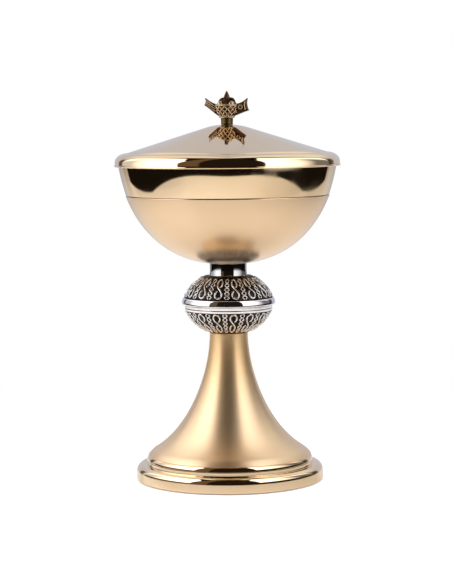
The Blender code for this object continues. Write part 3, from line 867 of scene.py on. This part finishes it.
def makeComb():  # the arch behind the pads, and the faceted spire that grows out of it
    s = finial
    _, _, top = nodeSize("finial_casting")
    arch = curvePoints([(-5.9, 231.4), (-5.2, 234.2), (-4.6, 235.7), (-1.8, 235.9)], 12)
    arch += curvePoints([(1.8, 235.9), (4.9, 235.9), (4.9, 234.2), (5.7, 231.4)], 12)
    ridge = plate(arch, s["combHalf"], 0.25)
    bmesh.ops.translate(ridge, vec=(0, s["combBack"], 0), verts=ridge.verts)
    keel = plate([(-0.55, 231.2), (0.55, 231.2), (0.9, 233.6), (0.9, 236), (-0.9, 236), (-0.9, 233.6)],
                 5.2, 0.3)
    outline = [(0, 233.0), (1.5, 233.2), (2.1, 235.6), (1.35, 237.6), (0.55, 239.3), (0.12, top - 0.08),
               (0, top)]
    spire = turnedInMillimetres(outline, 8, False)
    bmesh.ops.rotate(spire, cent=(0, 0, 0), matrix=Matrix.Rotation(radians(22.5), 3, "Z"),
                     verts=spire.verts)
    finialPiece("finial_comb", joined(ridge, keel, spire), darkBrass, crease=22)


finialCollar = dict(bore=1.9, foot=3.66, seat=0.45, sink=0.28)


def makeCollar():
    s = finialCollar
    radius, bottom, top = nodeSize("finial_collar")
    bottom -= s["sink"]                                 # closes the gap over the lid
    outline = [(s["bore"], bottom)]
    outline += arcPoints((radius - 0.25, bottom + s["seat"] / 2), (0.25, s["seat"] / 2), -90, 90, 10)
    outline += curvePoints([(s["foot"], bottom + s["seat"] + 0.1), (s["foot"] - 0.05, bottom + 1.4),
                            (radius - 0.1, top - 1.2), (radius, top - 0.3)], 12)
    outline += [(radius - 0.2, top), (s["bore"], top)]
    piece("finial_collar_turned", spunMesh(outline), oliveBrass, "lid", ["finial_collar"])


makeBasket()
makeLattice()
makePads()
makeArms()
makeArmRelief()
makeComb()
makeCollar()
for name in ("knob_sleeve", "cup_boss"):                  # hidden inside, kept as they are
    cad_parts[name].data.materials.clear()
    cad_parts[name].data.materials.append(hardwareBrass)
print("finial made")


# Stage: a pale table, two slanting softboxes, a lamp overhead, a pale wall behind and a dark room in front
stage = dict(wide=0.45, deep=0.435, widening=0.38, squareness=2.4, rim=(0.985, 1.015), cut=0.93,
             back=(-0.10, -0.03), paper=(0.88, 0.85, 0.81, 1), black=(0.008, 0.006, 0.004, 1), glow=0.30,
             whiteFrom=0.16, whiteTo=0.45, gloss=0.14, floorHalf=4.0)


def stagePiece(name, bm, finish, camera=True, glossy=True):
    mesh = bpy.data.meshes.new(name)
    bm.to_mesh(mesh)
    bm.free()
    mesh.materials.append(finish)
    made = bpy.data.objects.new(name, mesh)
    made.visible_camera = camera
    made.visible_glossy = glossy
    collection.objects.link(made)


def makeFloor():
    s = stage
    bm = bmesh.new()
    bmesh.ops.create_grid(bm, x_segments=1, y_segments=1, size=s["floorHalf"])
    bmesh.ops.translate(bm, vec=(0, 0, -0.0003), verts=bm.verts)
    f = newFinish("pale_table")
    here, x, y, z, away = f.place()
    mirrorRay = f.node("ShaderNodeLightPath", output="Is Glossy Ray")
    cameraRay = f.node("ShaderNodeLightPath", output="Is Camera Ray")
    wide = s["wide"] + y.maths("MAXIMUM", y, 0.0) * s["widening"]
    ahead = y.maths("MINIMUM", y, 0.0) / s["deep"]
    power = s["squareness"]
    reach = ((x / wide).size() ** power + ahead.size() ** power) ** (1 / power)
    behind = (y - x.size() * s["cut"]).between(*s["back"])
    dark = reach.between(*s["rim"]) * mirrorRay * (1 - behind)   # the metal mirrors the room past the table
    paper = f.node("ShaderNodeBsdfDiffuse", None, {"Color": s["paper"]})
    gloss = f.node("ShaderNodeBsdfGlossy", None, {"Color": (1, 1, 1, 1), "Roughness": s["gloss"]})
    shine = f.node("ShaderNodeFresnel", None, {"IOR": 1.45}) * mirrorRay
    paper = f.node("ShaderNodeMixShader", None, {0: shine, 1: paper, 2: gloss})
    glow = f.node("ShaderNodeEmission", None, {"Color": (1, 1, 1, 1), "Strength": cameraRay * s["glow"]})
    lit = f.node("ShaderNodeAddShader", None, {0: paper, 1: glow})
    white = f.node("ShaderNodeEmission", None, {"Color": (1, 1, 1, 1), "Strength": 1.0})
    black = f.node("ShaderNodeEmission", None, {"Color": s["black"], "Strength": 1.0})
    far = away.between(s["whiteFrom"], s["whiteTo"]) * cameraRay
    lit = f.node("ShaderNodeMixShader", None, {0: far, 1: lit, 2: white})
    f.node("ShaderNodeOutputMaterial", None,
           {"Surface": f.node("ShaderNodeMixShader", None, {0: dark, 1: lit, 2: black})})
    stagePiece("floor", bm, f.owner)


# Each softbox starts at a corner, runs back at an angle, and its slanting top climbs with it.
softboxes = dict(
    left=dict(corner=(-0.284, -0.272), run=(-0.551, 0.834), length=1.53, bottom=0.082, top=0.5, climb=2.5,
              strength=2.2, fade=(0.15, 0.65), rest=0.34),
    right=dict(corner=(0.161, -0.247), run=(0.728, 0.685), length=1.73, bottom=0.094, top=0.46, climb=3.5,
               strength=2.2, fade=(0.04, 0.46), rest=0.09))
ceiling = 1.3
boxEdge = 0.036           # soft lower border
boxTint = (0.97, 0.99, 1.04, 1)


def makeSoftbox(name):
    s = softboxes[name]
    (x0, y0), (dx, dy) = s["corner"], s["run"]
    bm = bmesh.new()
    bmesh.ops.create_grid(bm, x_segments=1, y_segments=1, size=0.5)
    bmesh.ops.rotate(bm, cent=(0, 0, 0), matrix=Matrix.Rotation(pi / 2, 3, "X"), verts=bm.verts)
    bmesh.ops.translate(bm, vec=(0.5, 0, 0.5), verts=bm.verts)
    bmesh.ops.scale(bm, vec=(s["length"], 1, ceiling - s["bottom"]), verts=bm.verts)
    bmesh.ops.rotate(bm, cent=(0, 0, 0), matrix=Matrix.Rotation(atan2(dy, dx), 3, "Z"), verts=bm.verts)
    bmesh.ops.translate(bm, vec=(x0, y0, s["bottom"]), verts=bm.verts)
    f = newFinish("softbox_" + name)
    here, x, y, z, away = f.place()
    along = (x - x0) * dx + (y - y0) * dy
    near = along.between(0, 0.012)
    high = z.between(0.35, 0.75)
    fall = 1 - along.between(*s["fade"]) * (1 - s["rest"]) * (1 - high * 0.75)
    slant = (z - s["top"] - along * s["climb"]).between(-0.03, 0.05)
    edge = z.between(s["bottom"], s["bottom"] + boxEdge)
    strength = near * fall * (1 - slant) * edge * s["strength"]
    glow = f.node("ShaderNodeEmission", None, {"Color": boxTint, "Strength": strength})
    f.node("ShaderNodeOutputMaterial", None, {"Surface": glow})
    stagePiece("softbox_" + name, bm, f.owner, camera=False)


overhead = dict(half=0.5, height=1.2, ahead=0.28, strength=5.0)


def makeOverhead():  # lights the table only, and isn't mirrored in the metal
    s = overhead
    bm = bmesh.new()
    bmesh.ops.create_grid(bm, x_segments=1, y_segments=1, size=s["half"])
    bmesh.ops.rotate(bm, cent=(0, 0, 0), matrix=Matrix.Rotation(pi, 3, "X"), verts=bm.verts)
    bmesh.ops.translate(bm, vec=(0, -s["ahead"], s["height"]), verts=bm.verts)
    f = newFinish("overhead")
    glow = f.node("ShaderNodeEmission", None, {"Color": (1, 1, 1, 1), "Strength": s["strength"]})
    f.node("ShaderNodeOutputMaterial", None, {"Surface": glow})
    stagePiece("overhead", bm, f.owner, camera=False, glossy=False)


room = dict(wall=(0.57, 0.60, 0.70, 1), pale=(0.88, 0.88, 0.88, 1), dark=(0.016, 0.011, 0.007, 1),
            brown=(0.135, 0.09, 0.055, 1), stand=(0.11, 0.10, 0.09, 1))


def makeRoom():
    s = room
    world = bpy.data.worlds.new("studio")
    bpy.context.scene.world = world
    f = Finish(world)
    aim = f.node("ShaderNodeTexCoord", output="Generated")
    x, y, z = [f.node("ShaderNodeSeparateXYZ", None, {0: aim}, k) for k in range(3)]
    azimuth = f.node("ShaderNodeMath", {"operation": "ARCTAN2"}, {0: x, 1: y * -1}) * degrees(1)
    level = f.node("ShaderNodeMath", {"operation": "ARCSINE"}, {0: z}) * degrees(1)
    behind = azimuth.size().between(124, 134)
    upper = level.between(20, 38) * (1 - azimuth.size().between(166, 174))
    brown = (1 - azimuth.between(-31, -27)) * azimuth.between(-112, -100) * level.between(-6, -2)
    stands = (1 - (azimuth + 140).size().between(3, 8) + 1 - (azimuth - 131).size().between(4, 10))
    stands = stands * (1 - level.between(14, 24))
    wall = f.blend(stands, f.blend(upper, s["wall"], s["pale"]), s["stand"])
    seen = f.blend(behind, f.blend(brown, s["dark"], s["brown"]), wall)
    cameraRay = f.node("ShaderNodeLightPath", output="Is Camera Ray")
    shown = f.blend(cameraRay, seen, (1, 1, 1, 1))
    sky = f.node("ShaderNodeBackground", None, {"Color": shown, "Strength": 1.0})
    f.node("ShaderNodeOutputWorld", None, {"Surface": sky})


camera = dict(distance=1.20, height=0.225, aside=-0.0015, down=5.19, roll=-0.5, lens=120)


def makeCamera():
    s = camera
    data = bpy.data.cameras.new("camera")
    data.lens = s["lens"]
    data.clip_start = 0.01
    eye = bpy.data.objects.new("camera", data)
    aim = Matrix.Rotation(radians(90 - s["down"]), 4, "X") @ Matrix.Rotation(radians(s["roll"]), 4, "Z")
    eye.matrix_world = Matrix.Translation((s["aside"], -s["distance"], s["height"])) @ aim
    collection.objects.link(eye)
    bpy.context.scene.camera = eye
    bpy.context.scene.view_settings.view_transform = "Standard"


makeFloor()
makeSoftbox("left")
makeSoftbox("right")
makeOverhead()
makeRoom()
makeCamera()
print("stage made")
